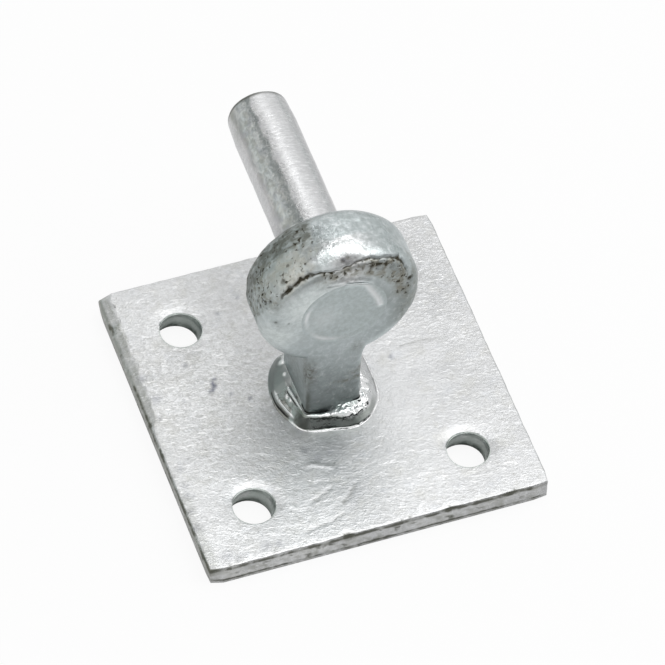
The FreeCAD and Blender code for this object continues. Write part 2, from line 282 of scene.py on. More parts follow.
# Back plate, a sheared square with four bolt holes
backPlate = {
    "thickness": 7,
    "restHeight": 1.5,          # below this it is less and less uneven, and at 0 not at all
    "spacing": 0.62,            # between the lines of the grid on its faces
    "gridInset": 3.9,           # from the plate's edge to the grid
    "cornerRadius": 1.6,
    # The edge at -X is rolled over: how far in from the side, and how far down
    "rolled": [(3.4, 0), (3.2, 0.02), (2.9, 0.10), (2.4, 0.26), (1.9, 0.42), (1.4, 0.58), (1.0, 0.71),
               (0.65, 0.86), (0.35, 1.06), (0.15, 1.35), (0.04, 1.7), (0, 2.1)],
    "slant": 0.8,               # how far its side leans in at the bottom
    "crispRadius": 0.6,         # the other edges of the upper face
    "holePlaces": [(-31.1, -33.1), (31.9, -33.1), (-31.1, 30.9), (31.9, 30.9)],
    "holeRadius": 5.8,
    "holeShift": (0.15, 0.35),  # how far the punched holes lie from their marks
    "holeRim": 0.25,
    "holeFlare": 0.6,           # the holes break out wider below
    "flareHeight": 4.2,         # from this height down
    "holeSlant": (-1.2, 0.8),   # and this far to one side
    "holePatch": 12,            # half the side of the square of grid round each hole
    "rippleTurn": -18,          # degrees that the zinc's ripples lie off +X
    "waviness": 0.05,
    "edgeRoughness": 0.09,
    "holeDip": 0.6,             # how far the face sinks towards each hole, on the side away from the front
    # Nicks in the edges: place, reach along each axis and depth
    "nicks": [((-9.4, -50, 6.9), (1.3, 0.8, 0.8), 0.6), ((-8.2, -50, 5.6), 0.6, 0.4),
              ((21, -50, 6.7), (2.2, 0.5, 0.5), 0.2), ((38, -50, 6.5), (3, 0.4, 0.4), 0.15),
              ((-49.2, 37.6, 6.1), (0.6, 1.5, 0.6), 0.6)],
    # Dark lines in the edge at -X, along the two edges of the front side and down its corner at -X, partly
    # grime and partly painted shade, the lower front one a painted contact shadow: ends, half width and
    # strength
    "grimeAndShadeLines": [((-49.6, 17, 6.3), (-49.7, -50, 6.7), 0.5, 1.1),
                   ((-50, -50, 6.0), (50, -50, 6.0), 0.75, 1.15),
                   ((-50, -50, 1.1), (50, -50, 1.1), 0.4, 1.3),
                   ((-49.7, -50, 0), (-49.7, -50, 7), 0.9, 0.75)],
    # Rougher and smoother parts of the face: place, reach and change
    "grainy": [((-38, 8), 22, 0.65), ((-26, 8), 14, 0.45), ((-26, -36), 14, 0.1), ((22, -6), 15, -0.5),
               ((36, 30), 14, 0.3), ((8, 44), 16, 0.1), ((-8, -24), 10, -0.25), ((16, -32), 12, -0.15)],
    # Scratches and runs in the zinc: path, half width and height, which is below zero for a groove
    "runs": [([(-20.2, -45.4), (-16, -44.6), (-12, -44.2), (-8.1, -42.5)], 0.45, -0.12),
             ([(-15.8, -36.4), (-13.3, -35.6), (-11, -34.2), (-8.4, -33.4)], 0.4, -0.16),
             ([(-12.6, -24.1), (-9.7, -24.7), (-7.8, -25.8), (-5.9, -27)], 0.4, 0.2),
             ([(-7.2, -39.3), (-4.5, -37.2), (-2, -34.5)], 0.9, -0.08),
             ([(-13, -18), (-11.4, -23), (-11.8, -29)], 1.0, 0.12),
             ([(-4, -19), (-3.4, -24), (-5, -30)], 0.9, 0.12),
             ([(-33.2, 7.4), (-31.6, 7.5), (-30.1, 7.8)], 0.3, -0.05),
             ([(-21.9, 48.3), (-19.2, 44)], 0.4, -0.05),
             ([(26.1, 7.1), (32, 7.4), (37.9, 6.3)], 0.6, -0.04),
             ([(30, 13), (35, 14.5), (40, 13.8)], 0.6, 0.04),
             ([(-28.2, 38.3), (-26.9, 37.9), (-26.4, 39.2), (-27.4, 39.8)], 0.3, -0.06)],
    # Stains and specks on the face: place, reach and strength
    "specks": [((-8, -19), 4.5, 0.13), ((-1.5, -20.5), 3, 0.14), ((-5, -27), 3, 0.09),
               ((-2.6, -36.5), 2.3, 0.15), ((-4, -40), 1.8, 0.10), ((-48.4, -35), 1.6, 0.35),
               ((-47.8, -24), 0.8, 0.4), ((-48.2, -29), 0.7, 0.4), ((-27.3, 12.0), 0.55, 1),
               ((-28.4, 10.9), 0.6, 1), ((-28.0, 9.9), 0.7, 1), ((-28.9, 8.8), 0.6, 1),
               ((-29.9, 8.0), 0.6, 0.8), ((-11.3, -19), 0.9, 0.3), ((-8.6, -22.3), 1.2, 0.3),
               ((-4.9, -21.7), 0.9, 0.3), ((22.1, 4.3), 0.6, 0.6), ((-11.8, 37.5), 0.5, 0.5),
               ((-47, -23), 0.6, 0.4), ((-45.6, -24.4), 0.6, 0.35), ((-19.5, 33.7), 0.6, 0.45),
               ((-33.6, 19.1), 0.8, 0.4), ((-20.2, 2.5), 0.6, 0.8), ((-24.6, 5.9), 0.6, 0.6),
               ((-38, 7.2), 0.5, 0.35), ((-32, -46.2), 1.5, 0.35), ((-28.5, -46.8), 1.1, 0.4),
               ((-43.5, -46.5), 1.6, 0.3), ((-40.5, -47.8), 1.0, 0.3), ((-46.6, 18.5), 1.2, 0.4),
               ((-45.2, 10.5), 1.3, 0.4), ((-46.4, 3.5), 0.8, 0.35), ((-46.4, -14.5), 1.0, 0.3),
               ((-46.8, -20.5), 1.0, 0.35)],
    # Broad lighter and darker parts of the face, partly the zinc's own tone and partly painted shade, such
    # as the soft shadows beside the holes: place, reach and change
    "tonesAndShading": [((-42, -34), 14, 0.9), ((-22, -44), 14, 0.45), ((-40, 3), 10, 0.45), ((16, -49), 10, 0.35),
              ((-34, 34), 10, 0.25), ((-14, 22), 12, 0.3), ((40, -10), 16, -0.35), ((46, 20), 14, -0.25),
              ((-30, 3), 12, 0.12), ((14, -16), 9, 0.3), ((-1, -36), 7, -0.35), ((-16, 4), 6, 0.35),
              ((-31, 22.5), 5, -0.45), ((-26.5, -38.5), 3.5, -0.35), ((37, -36), 4, -0.3),
              ((42, 42), 8, -0.25), ((13, -33), 7, 0.15), ((-24, 18), 7, 0.3)],
}


# Places at even steps from each of the given places to the next
def evenSteps(breaks, spacing):
    places = [breaks[0]]
    for start, end in zip(breaks, breaks[1:]):
        run = np.subtract(end, start)
        steps = max(1, round(np.linalg.norm(run) / spacing))
        places += [start + run * (step + 1) / steps for step in range(steps)]
    return np.array(places)


# The outer loop of a block of grid indices, anticlockwise from its low corner
def blockLoop(block):
    return np.concatenate([block[:-1, 0], block[-1, :-1], block[:0:-1, -1], block[0, :0:-1]])


# Points go in here a batch at a time, and each batch gives back its indices
class PointStore:
    def __init__(self):
        self.batches = []
        self.count = 0

    def add(self, points):
        points = np.asarray(points, float).reshape(-1, 3)
        self.batches.append(points)
        self.count += len(points)
        return np.arange(self.count - len(points), self.count)

    # A flat outline's points at this height, which may vary along it
    def addLoop(self, flat, height):
        return self.add(np.column_stack([flat, np.broadcast_to(height, len(flat))]))

    def all(self):
        return np.concatenate(self.batches)


# Rounds the corners of a rectangle's outline, and gives each point's way out of it too
def roundCorners(outline, low, high, corner):
    heart = np.clip(outline, low + corner, high - corner)
    away = outline - heart
    outward = away / np.linalg.norm(away, axis=1)[:, None]
    isCorner = (abs(away) > 0.001).all(axis=1)[:, None]
    return np.where(isCorner, heart + outward * corner, outline), outward


def makePlateMesh(plate):
    low, high = (np.array(corner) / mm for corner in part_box("back_plate"))
    inset, patch, top = plate["gridInset"], plate["holePatch"], plate["thickness"]
    lines = []
    for axis in (0, 1):
        centres = sorted({place[axis] for place in plate["holePlaces"]})
        sides = [centre + side for centre in centres for side in (-patch, patch)]
        lines.append(evenSteps([low[axis] + inset, *sides, high[axis] - inset], plate["spacing"]))
    across, along = np.meshgrid(*lines, indexing="ij")
    store = PointStore()
    grids = []
    for level in (top, 0):
        flat = np.stack([across, along, np.full_like(across, level)], axis=-1)
        grids.append(store.add(flat).reshape(across.shape))
    faces = []

    # The grid's squares, leaving out the four patches round the holes
    middleX = (lines[0][1:] + lines[0][:-1]) / 2
    middleY = (lines[1][1:] + lines[1][:-1]) / 2
    kept = np.ones((len(middleX), len(middleY)), bool)
    for x, y in plate["holePlaces"]:
        kept &= ~((abs(middleX - x) < patch)[:, None] & (abs(middleY - y) < patch)[None, :])
    for grid in grids:
        quads = np.stack([grid[:-1, :-1], grid[1:, :-1], grid[1:, 1:], grid[:-1, 1:]], axis=-1)
        faces.append(quads[kept])

    # Round each hole: from the square to the rim, over the rim, down the bore and out again below
    radius, rim = plate["holeRadius"], plate["holeRim"]
    lowRadius = radius + plate["holeFlare"]
    for x, y in plate["holePlaces"]:
        heart = np.add((x, y), plate["holeShift"])
        within = [np.flatnonzero(abs(line - centre) < patch + 0.01) for line, centre in zip(lines, (x, y))]
        above, below = (blockLoop(grid[np.ix_(*within)]) for grid in grids)
        edge = store.all()[above][:, :2]
        angle = np.arctan2(edge[:, 1] - y, edge[:, 0] - x)
        turned = np.stack([np.cos(angle), np.sin(angle)], axis=1)

        def ring(reach, level, part=0):
            flat = heart + turned * reach + np.multiply(plate["holeSlant"], 1 - level / top)
            return store.addLoop(flat * (1 - part) + edge * part, level)

        loops = [above]
        loops += [ring(radius + rim, top, part) for part in np.linspace(1, 0, 14)[1:-1]]
        for turn in np.linspace(0, math.pi / 2, 7):
            loops.append(ring(radius + rim - rim * math.sin(turn), top - rim + rim * math.cos(turn)))
        for level in np.linspace(top - rim, 0, 14)[1:]:
            opened = max(0, 1 - level / plate["flareHeight"]) ** 2
            loops.append(ring(radius + plate["holeFlare"] * opened, level))
        loops += [ring(lowRadius, 0, part) for part in np.linspace(0, 1, 5)[1:-1]]
        faces.append(faceLoops(loops + [below]))

    # Round the outside: over the upper edge, down the side and in again below
    above, below = (blockLoop(grid) for grid in grids)
    edge = store.all()[above][:, :2]
    outline = edge.copy()
    for axis in (0, 1):
        outline[np.isclose(edge[:, axis], low[axis] + inset), axis] = low[axis]
        outline[np.isclose(edge[:, axis], high[axis] - inset), axis] = high[axis]
    rolled = np.isclose(outline[:, 0], low[0]).astype(float)
    outline, outward = roundCorners(outline, low[:2], high[:2], plate["cornerRadius"])
    spots = np.column_stack([edge, np.zeros(len(edge))])
    wander = 0.25 + 0.75 * ramp(edge[:, 1] + 6 * smoothNoise(spots, 5, 17), -4, 14)
    wander *= 1 + 0.16 * layeredNoise(spots, 2.5, 18)
    insets, drops = np.array(plate["rolled"]).T
    arc = np.linspace(0, math.pi / 2, len(insets))
    crisp = plate["crispRadius"] * (1 - rolled[:, None])
    insets = crisp * (1 - np.sin(arc)) + insets * (rolled * wander)[:, None]
    drops = crisp * (1 - np.cos(arc)) + drops * (rolled * (0.4 + 0.6 * wander))[:, None]
    loops = [above]
    for part in (0.35, 0.7):
        loops.append(store.addLoop(edge * (1 - part) + (outline - outward * insets[:, :1]) * part, top))
    for inset, drop in zip(insets.T, drops.T):
        loops.append(store.addLoop(outline - outward * inset[:, None], top - drop))
    lean = outward * (plate["slant"] * rolled)[:, None]
    for part in np.linspace(0, 1, 11)[1:-1]:
        loops.append(store.addLoop(outline - lean * part, (top - drops[:, -1]) * (1 - part)))
    for turn in np.linspace(0.2, 1, 3):
        loops.append(store.addLoop(outline - lean - outward * 0.25 * turn, 0.1 * (1 - turn)))
    for part in (0.4, 0.7):
        loops.append(store.addLoop(outline * (1 - part) + edge * part, 0))
    faces.append(faceLoops(loops + [below]))

    # Grid points inside the patches belong to no face
    points, faces = store.all(), np.concatenate(faces)
    used = np.unique(faces)
    fresh = np.zeros(len(points), int)
    fresh[used] = np.arange(len(used))
    return points[used], fresh[faces]


def makeBackPlate(plate):
    piece = addMesh("backPlate", *makePlateMesh(plate))
    points, outward = readPoints(piece)
    x, y, z = points.T
    flat = points[:, :2]
    top = ramp(z, 6, 6.8)
    side = ramp(np.max(abs(flat), axis=1), 48.4, 49.6)
    near = np.maximum(ramp(-x, 48, 49), ramp(-y, 48, 49))    # the two near sides
    push = plate["waviness"] * (layeredNoise(points, 14, 3) - 0.5)
    push += plate["edgeRoughness"] * side * (layeredNoise(points, (2.4, 2.4, 1.6), 11) - 0.4)
    dirt = 0.6 * side * near * ramp(layeredNoise(points, (2.6, 2.6, 1.5), 13), 0.3, 1.0)
    # Dark lines along the edges, partly grime and partly painted shade
    for start, end, width, strength in plate["grimeAndShadeLines"]:
        line = hump(pathDistance(points, [start, end]), width)
        dirt += strength * line * (0.62 + 0.4 * layeredNoise(points, 2.0, 16))
    bore, rim = np.zeros(len(points)), np.zeros(len(points))
    for place in plate["holePlaces"]:
        sunk = 1 - points[:, 2:] / plate["thickness"]
        gap = flat - np.add(place, plate["holeShift"]) - plate["holeSlant"] * sunk
        reach = np.linalg.norm(gap, axis=1)
        away = reach - plate["holeRadius"]
        beyond = ramp(gap @ (0.37, 0.93) / reach, -0.3, 0.7)
        dip = plate["holeDip"] * (0.1 + 0.9 * beyond) * (1 + 0.2 * smoothNoise(points, 4, 12))
        push -= dip * hump(away, 2.2) * ramp(z, 5, 7)
        opened = 0.8 * fade(z, 3, 5.5)
        bore = np.maximum(bore, fade(away, 0.1 + opened, 0.7 + opened))
        rim = np.maximum(rim, hump(away, 0.22) * ramp(z, 6, 6.6))
    for place, reach, deep in plate["nicks"]:
        nick = spotAt(points, place, reach)
        push -= deep * nick
        dirt += 0.8 * nick
    for path, halfWidth, height in plate["runs"]:
        away = pathDistance(flat, path)
        push += height * hump(away, halfWidth) * top
        if height < 0:
            dirt += 0.35 * hump(away, halfWidth * 0.8) * top
    blurred = flat + 0.45 * np.stack([smoothNoise(points, 0.9, seed) for seed in (14, 15)], axis=1)
    specks = addSpots(blurred, plate["specks"]) * top
    # The zinc's tone and painted shade, made a little darker towards +X further down
    tone = 0.5 + addSpots(flat, plate["tonesAndShading"])
    lift = np.clip(z / plate["restHeight"], 0, 1)
    points += outward * (push * lift)[:, None]
    writePoints(piece, points)
    rolled = ramp(-x + 0.8 * layeredNoise(points, 2.5, 20), 46.2, 47.4)
    wander = y + 5 * smoothNoise(points, 5, 17)
    rolled *= 0.15 + 0.75 * ramp(wander, -4, 12) + 0.4 * ramp(-wander, 20, 28)
    # Painted shade in the bores, darker towards their bottoms, with a dark line round each rim
    wall = 0.15 * fade(z, 5.5, 6.8) + 0.9 * fade(z, 0.5, 4)
    wall *= 1 + 0.6 * layeredNoise(points, (2.4, 2.4, 5), 22)
    # Painted shade on the two near side faces, mottled: on the side at -X darker towards its top, on the
    # front side lighter towards +X
    shade = np.where(x < -48, 0.75 + 0.6 * ramp(z, 1.5, 5.5), 0.2 - 0.16 * ramp(x, 25, 50))
    shade += 0.95 * layeredNoise(points, (1.7, 1.7, 1.1), 19)
    writeMasks(
        piece,
        dirt=dirt,
        specks=specks,
        tone=tone - x * 0.003,
        roll=rolled * top,
        grainy=0.5 + addSpots(flat, plate["grainy"]),
        bore=bore * np.maximum(wall, 0.02) + 0.4 * rim,
        side=side * near * shade * fade(z, 6.2, 6.9),
    )
    fitPiece(piece, "back_plate", plateFinish(plate))


def plateFinish(plate):
    material, place = newFinish("galvanisedPlate")
    dirt, bore, side, specks, tone, roll, grainy = readMasks(place, "dirt bore side specks tone roll grainy")
    cloud = place.noise(14, 4, 0.6, 0.4)
    fine = place.noise(0.7, 2, 0.6)
    grain = place.stretch(plate["rippleTurn"], (1.5, 1, 1.5)).noise(1.5, 4, 0.7, 0.5)
    ripple = place.stretch(plate["rippleTurn"], (2.2, 1, 2)).noise(1.3, 2, 0.5, 0.8)
    crimp = place.stretch(plate["rippleTurn"], (1.5, 1, 1.8)).noise(0.8, 2, 0.6, 1.2)
    dash = ripple.ramp(0.56, 0.74)
    speck = place.noise(0.8, 1, 0.5).ramp(0.76, 0.82) * place.noise(9, 1, 0.5).ramp(0.45, 0.6)
    grimeAndShade = (dirt * (0.5 + place.noise(1.2, 3, 0.6))).ramp(0.05, 0.8)
    colour = layCoats(tone.tint(grey(0.49, 0.016), grey(0.76, 0.010)), [
        (cloud.ramp(0.3, 0.7) * 0.5, grey(0.67, 0.006)),
        (place.noise(6, 3, 0.65).ramp(0.5, 0.7) * 0.28, (0.50, 0.495, 0.45, 1)),
        (place.noise(7, 3, 0.6).ramp(0.55, 0.75) * 0.28, (0.52, 0.55, 0.60, 1)),
        ((1 - grain).ramp(0.42, 0.68) * (0.14 + 0.34 * grainy), (0.42, 0.42, 0.405, 1)),
        ((1 - crimp).ramp(0.40, 0.70) * grainy * 0.42, (0.36, 0.365, 0.35, 1)),
        (crimp.ramp(0.52, 0.72) * grainy * 0.40, grey(0.95, 0.006)),
        (dash * (0.1 + 0.5 * grainy), grey(0.86, 0.004)),
        (speck * 0.6, (0.26, 0.24, 0.19, 1)),
        (roll * (0.15 + 0.9 * crimp.ramp(0.35, 0.65)), (0.36, 0.37, 0.34, 1)),
        (specks, (0.16, 0.17, 0.21, 1)),
        # painted shade on the near side faces
        (side * 0.68, (0.31, 0.315, 0.28, 1)),
        # painted shade in the bores: a greenish tint, then darker towards their bottoms
        (bore.ramp(0, 0.2) * 0.5, (0.50, 0.58, 0.53, 1)),
        (bore * (0.65 + 0.35 * grain.ramp(0.35, 0.6)), (0.085, 0.11, 0.095, 1)),
        (grimeAndShade * 0.9, (0.105, 0.108, 0.085, 1)),
    ])
    height = ripple * 0.07 + dash * grainy * 0.05 + fine * 0.05 + grain * 0.07 + cloud * 0.25
    height = height + (crimp - 0.5) * (0.02 + 0.13 * grainy)
    roughness = 0.31 + 0.14 * cloud + 0.06 * fine + 0.15 * grimeAndShade
    closeFinish(colour, roughness, height)
    return material


# Forged eye and shank
eyeShank = {
    "voxel": 0.32,
    "rounds": 4,
    "eyeX": 1.5,
    "eyeZ": 53.9,
    # Forge lap round the front rim: degrees clockwise from the top, distance from the pin's axis, half width
    "lap": [(-60, 21.1, 0.15), (-56, 21.2, 0.34), (-47, 21.2, 0.5), (-41, 21.2, 0.42), (-34, 21.2, 0.5),
            (-29, 21.1, 0.5), (-24, 20.8, 0.36), (-19, 20.2, 0.24), (-13, 19.5, 0.26), (-7, 19.2, 0.22),
            (-1, 19.3, 0.24), (3, 19.6, 0.36), (7, 20.1, 0.42), (13, 20.7, 0.36), (20, 20.8, 0.22),
            (28, 21.0, 0.22), (38, 21.4, 0.25), (46, 21.8, 0.36), (53, 21.3, 0.24), (60, 20.7, 0.15),
            (66, 20.2, 0.1)],
    "lapDepth": 0.42,
    # Dents: place, reach and depth
    "dents": [((-15.3, -6.1, 69.5), 1.1, 0.35), ((-21.3, -2.7, 58.7), 0.75, 0.35),
              ((-21.2, -4.8, 58.8), 0.75, 0.35), ((-20.1, -6.0, 61.5), 0.8, 0.35),
              ((-19.2, -7.0, 62.8), 0.75, 0.35), ((-18.1, -9.6, 56.3), 0.7, 0.25),
              ((-14.5, -10.2, 55.1), 0.5, 0.2), ((-17.6, -9.6, 54.6), 0.6, 0.2),
              ((20.6, -8.6, 60.4), 0.9, 0.4), ((18.2, -9.2, 60.2), 0.7, 0.35),
              ((8.8, -9.8, 71.1), 0.8, 0.3), ((11.1, -9.8, 70.7), 0.9, 0.3), ((13.2, -9.6, 70.3), 0.6, 0.3),
              ((0.3, -10.1, 69.2), 0.9, 0.25), ((1.7, -10.1, 67.6), 0.8, 0.25),
              ((4.1, -10.1, 67.4), 0.9, 0.2), ((1.1, -10.1, 71.1), 0.5, 0.2),
              ((-3.3, -10.1, 71.4), 0.5, 0.2), ((20.3, -9.6, 60.9), 0.7, 0.3),
              ((12.9, -10.1, 63.8), 0.6, 0.15), ((15.4, -10.1, 57.7), 0.5, 0.15),
              ((16.8, -10.1, 57.4), 0.5, 0.15), ((0.6, -8.8, 75.1), 0.8, 0.22),
              ((2.6, -8.4, 75.6), 0.9, 0.28), ((4.4, -8.7, 74.9), 0.7, 0.2), ((9.9, 3.3, 75.5), 0.8, -0.25),
              ((12.3, 0.2, 74.4), 0.7, -0.2), ((4, -1, 77), 1.6, -0.12), ((16.4, -10.1, 61.5), 0.7, 0.2),
              ((18.6, -9.9, 57.4), 0.6, 0.25), ((19.4, -9.8, 55.8), 0.7, 0.2)],
    # A raised fold and a fine groove that run down beside the pin's head
    "ridge": [(1.5, -10.2, 67.9), (5.0, -10.2, 67.2), (8.5, -10.2, 65.4)],
    "groove": [(-3.6, -10.2, 67.3), (-0.5, -10.2, 67.0), (2.6, -10.2, 66.9)],
    # Shade along the right of that fold
    "shade": [(10.2, -10.2, 64.2), (12.4, -10.2, 60.6), (13.9, -10.2, 56.5), (14.2, -10.2, 53.5)],
    # A dark line between the rear and the front of the rim at -X
    "seam": [(-19.6, 2.2, 64.0), (-18.4, 1.9, 65.8), (-14.9, 1.7, 70.3), (-9.4, 1.3, 74.4), (-3.9, 0, 76.5)],
    # Brown stains on the shank: place, reach along each axis and strength
    "stains": [((-8.1, -8.2, 28), (1.2, 2.0, 6), 1.0), ((-6.8, -10.2, 29.5), (1.5, 1.2, 5), 0.75),
               ((7.5, -10.0, 26.6), (0.8, 1.2, 1.1), 1.5), ((5.4, -10.2, 25.3), (1.7, 1.2, 0.8), 1.0),
               ((6.6, -10.2, 22.9), (1.5, 1.2, 0.8), 1.0), ((3.4, -10.2, 22.2), (1.8, 1.2, 0.7), 0.8),
               ((0.8, -10.2, 22.8), (1.6, 1.2, 0.7), 0.6), ((5.9, -10.2, 37.0), (1.7, 1.2, 2.2), 0.6),
               ((-8.1, 2, 20), (1.2, 8, 9), 0.35)],
    # Stained places on the eye: place and reach
    "brownBlotch": ((17.6, -10, 58.5), 2.6),
    "darkPatch": ((1.6, -8.7, 75.0), (3.2143, 1.35, 1.35)),
    "violetPatch": ((-7.4, -4.4, 74.8), (2.6, 4.3333, 2.6)),
    "skin": 0.10,
    "hammered": 0.13,           # relief of the rough parts of the rim
    "lip": 0.22,                # height of the roll of metal above the pin's head
}


def makeEyeShank(forging):
    piece = copyNode("eye_shank", "eyeShank", forging["voxel"], forging["rounds"])
    points, outward = readPoints(piece)
    x, y, z = points.T
    across, up = x - forging["eyeX"], z - forging["eyeZ"]
    reach, angle = np.hypot(across, up), np.degrees(np.arctan2(across, up))
    face = ramp(-y, 2, 5)    # 1 towards the front of the eye
    onEye = ramp(z, 36, 44)
    wander = 4 * layeredNoise(points, 3, 21)
    lower = 93 - 30 * ramp(-y + wander * 0.4, 3, 7.5)
    # The rim at -X: mottled and hammered zinc, darkened as painted shade
    left = ramp(-angle + 1.6 * wander - 7 * ramp(-y, 3.5, 6.5), 12, 19) * onEye
    left *= fade(-angle, lower, lower + 16) * ramp(reach, 19.5, 21.5)
    # Painted highlight along the top of the rim
    bright = hump(turnFrom(angle, 3), 18) * ramp(-y + wander * 0.4, 0.6, 3) * onEye * (1 - left)
    # Painted shade on the rear of the rim at -X
    rear = left * ramp(y + wander * 0.5, -0.5, 3.5)
    light = left * hump(angle + 41, 17) * ramp(-y + wander * 0.3, -0.9, 0.9)
    right = 0.6 * ramp(angle + wander, 46, 68) * fade(angle, 112, 132) * ramp(reach, 14, 19) * face * onEye
    # Painted light: lighter patches on the left of the eye's front face
    glow = np.maximum(hump(np.hypot(across + 10, up - 7), 10), hump(np.hypot(across + 19, up + 4), 6))
    glow *= face * (1 - left)
    crescent = ramp(angle, -40, -8) * fade(angle, 62, 80) * ramp(reach, 14.2, 16.4) * face

    # The lap is a furrow with a raised lip above it and a rough strip below
    lapAngles, lapReaches, lapWidths = zip(*forging["lap"])
    past = reach - np.interp(angle, lapAngles, lapReaches)
    past += 0.22 * smoothNoise(points, 1.4, 25) + 0.16 * smoothNoise(points, 0.7, 26)
    width = np.interp(angle, lapAngles, lapWidths) * (1 + 0.5 * smoothNoise(points, 1.1, 27))
    onLap = face * ramp(angle, -61, -57) * fade(angle, 60, 67)
    lap = hump(past, width) * onLap
    thick = np.clip(width / 0.5, 0.3, 1.3)
    crescent *= fade(past, -0.2, 0.2)
    push = forging["skin"] * layeredNoise(points, 8, 5) * (1 - face * fade(reach, 12.5, 15.5))
    push -= forging["lapDepth"] * thick * lap
    push += 0.14 * onLap * ramp(past, 0.1, 0.7) * fade(past, 1.2, 3)
    push += forging["hammered"] * np.maximum(left, 0.7 * right) * layeredNoise(points, (3, 2.2, 3), 33)
    push += 0.07 * crescent * layeredNoise(points, 1.6, 35)
    # The lap and the dents darkened: dirt and painted shade in them
    dirt = lap * (0.35 + 0.65 * thick)
    for place, size, deep in forging["dents"]:
        away = np.linalg.norm(points - place, axis=1) * (1 + 0.3 * smoothNoise(points, 0.9, 29))
        push -= deep * hump(away, size)
        dirt += 0.68 * hump(away, size) * np.clip(deep / 0.33, 0, 1)
    roll = hump(reach - 13.4, 1.0) * hump(angle - 8, 40) * face * onEye
    ridge = hump(pathDistance(points, forging["ridge"]), 0.75) * (1 + 0.3 * smoothNoise(points, 1.5, 30))
    push += 0.2 * ridge - 0.2 * hump(pathDistance(points, forging["groove"]), 0.35)
    dirt += 0.4 * hump(pathDistance(points, forging["seam"]) + 0.3 * smoothNoise(points, 1.2, 44), 0.45)
    push += forging["lip"] * roll - 0.10 * hump(reach - 15.4, 0.5) * hump(angle + 2, 40) * face * onEye
    points += outward * push[:, None]
    writePoints(piece, points)
    corner = np.hypot(x + 8.0, y + 10.1) * (1 + 0.2 * smoothNoise(points, 2, 36))
    violet = 0.5 * spotAt(points, *forging["violetPatch"]) * (1 + 0.7 * layeredNoise(points, 2, 46, 2))
    patch = np.maximum(spotAt(points, *forging["darkPatch"]), violet)
    shadow = ramp(x, 12, 20) * face * onEye * fade(angle, 125, 140) * ramp(angle, 55, 80)
    shadow += 0.6 * hump(pathDistance(points, forging["shade"]), 1.3)
    blotch = spotAt(points, *forging["brownBlotch"])
    writeMasks(
        piece, dirt=dirt, light=light, glow=glow, bright=bright, rear=rear, shadow=shadow,
        mottle=np.maximum.reduce([left * (1 - 0.7 * light), right, 0.9 * patch]),
        patch=patch * (1 + 0.4 * smoothNoise(points, 1.2, 40)),
        stain=addSpots(points, forging["stains"]),
        brown=np.maximum.reduce([crescent, 0.35 * light, blotch]),
        corner=0.9 * hump(corner, 0.9) * fade(z, 18, 24),
        # painted shade: the front of the shank darker towards its foot
        foot=fade(z, 12, 44) * ramp(-outward[:, 1], 0.2, 0.8),
        shine=ramp(outward[:, 2], 0.45, 0.85) * onEye * (1 - left),
    )
    fitPiece(piece, "eye_shank", forgingFinish(forging))


def forgingFinish(forging):
    material, place = newFinish("galvanisedForging")
    dirt, mottle, rear, brown, corner, foot = readMasks(place, "dirt mottle rear brown corner foot")
    shine, shadow, bright, stain, light, glow = readMasks(place, "shine shadow bright stain light glow")
    patch, = readMasks(place, "patch")
    cloud = place.noise(9, 3, 0.6, 0.3)
    fine = place.noise(0.9, 3, 0.6)
    blot = place.noise(2.6, 4, 0.65, 0.5)
    streak = place.stretch(0, (2.2, 0.9, 2.2)).noise(1.5, 4, 0.65, 0.4)
    pit = place.noise(1.3, 3, 0.6, 0.4).ramp(0.575, 0.66)
    frost = place.noise(1.6, 4, 0.7, 0.3)
    onRim = shine.math("MAXIMUM", shine, mottle)
    # Mottled, worn zinc, with painted shade on the rim at -X
    worn = mottle * (0.2 + 0.8 * blot.ramp(0.44, 0.56)) * (0.4 + 0.6 * streak.ramp(0.40, 0.56))
    spots = pit * (brown + 0.72 * mottle + 0.6 * stain).ramp(0.25, 0.9)
    # dirt, pits and painted shade
    grimeAndShade = (dirt + spots * 0.9).ramp(0.1, 0.75)
    colour = layCoats(cloud.ramp(0.3, 0.7).tint((0.46, 0.51, 0.515, 1), (0.54, 0.59, 0.60, 1)), [
        # painted highlight on top of the rim
        (bright * cloud.ramp(0.2, 0.5), grey(0.80, 0.01)),
        # painted light on the eye's face
        (glow * 0.9, (0.76, 0.81, 0.80, 1)),
        (shadow * 0.65, zinc(0.28)),
        # painted shade on the shank towards its foot, mottled
        (foot, (0.23, 0.262, 0.262, 1)),
        (foot * (1 - blot).ramp(0.42, 0.62) * 0.5, (0.16, 0.18, 0.178, 1)),
        ((1 - frost).ramp(0.38, 0.66) * (0.30 + 0.25 * onRim), (0.31, 0.34, 0.33, 1)),
        (frost.ramp(0.5, 0.7) * (0.24 + 0.2 * onRim), grey(0.80, 0.01)),
        (worn * 0.9, (0.24, 0.247, 0.21, 1)),
        (patch * 0.95, (0.17, 0.17, 0.18, 1)),
        (light * (0.35 + 0.75 * blot.ramp(0.35, 0.6)), (0.64, 0.645, 0.60, 1)),
        (light * place.noise(1.2, 4, 0.7, 0.5).ramp(0.5, 0.62) * 0.5, (0.37, 0.375, 0.34, 1)),
        # painted shade on the rear of the rim at -X, streaked
        (rear * (0.15 + 0.75 * streak.ramp(0.25, 0.65)), (0.16, 0.17, 0.155, 1)),
        (brown * (0.25 + 0.65 * blot.ramp(0.42, 0.60)), (0.25, 0.242, 0.20, 1)),
        (corner * (0.7 + 0.3 * blot), (0.09, 0.095, 0.08, 1)),
        (stain * (0.3 + 0.6 * fine.ramp(0.38, 0.62)), (0.155, 0.152, 0.125, 1)),
        (grimeAndShade * (0.65 + 0.35 * blot.ramp(0.4, 0.55)), (0.055, 0.05, 0.035, 1)),
    ])
    height = fine * (0.07 + 0.05 * onRim) + cloud * 0.25 + frost * (0.09 + 0.05 * onRim)
    height = height + (blot - 0.5) * (0.06 + 0.20 * mottle + 0.16 * brown)
    height = height + mottle * (streak - 0.5) * 0.10 - spots * 0.15
    roughness = 0.36 - 0.17 * shine + 0.08 * cloud + 0.10 * mottle + 0.2 * grimeAndShade
    closeFinish(colour, roughness, height)
    return material


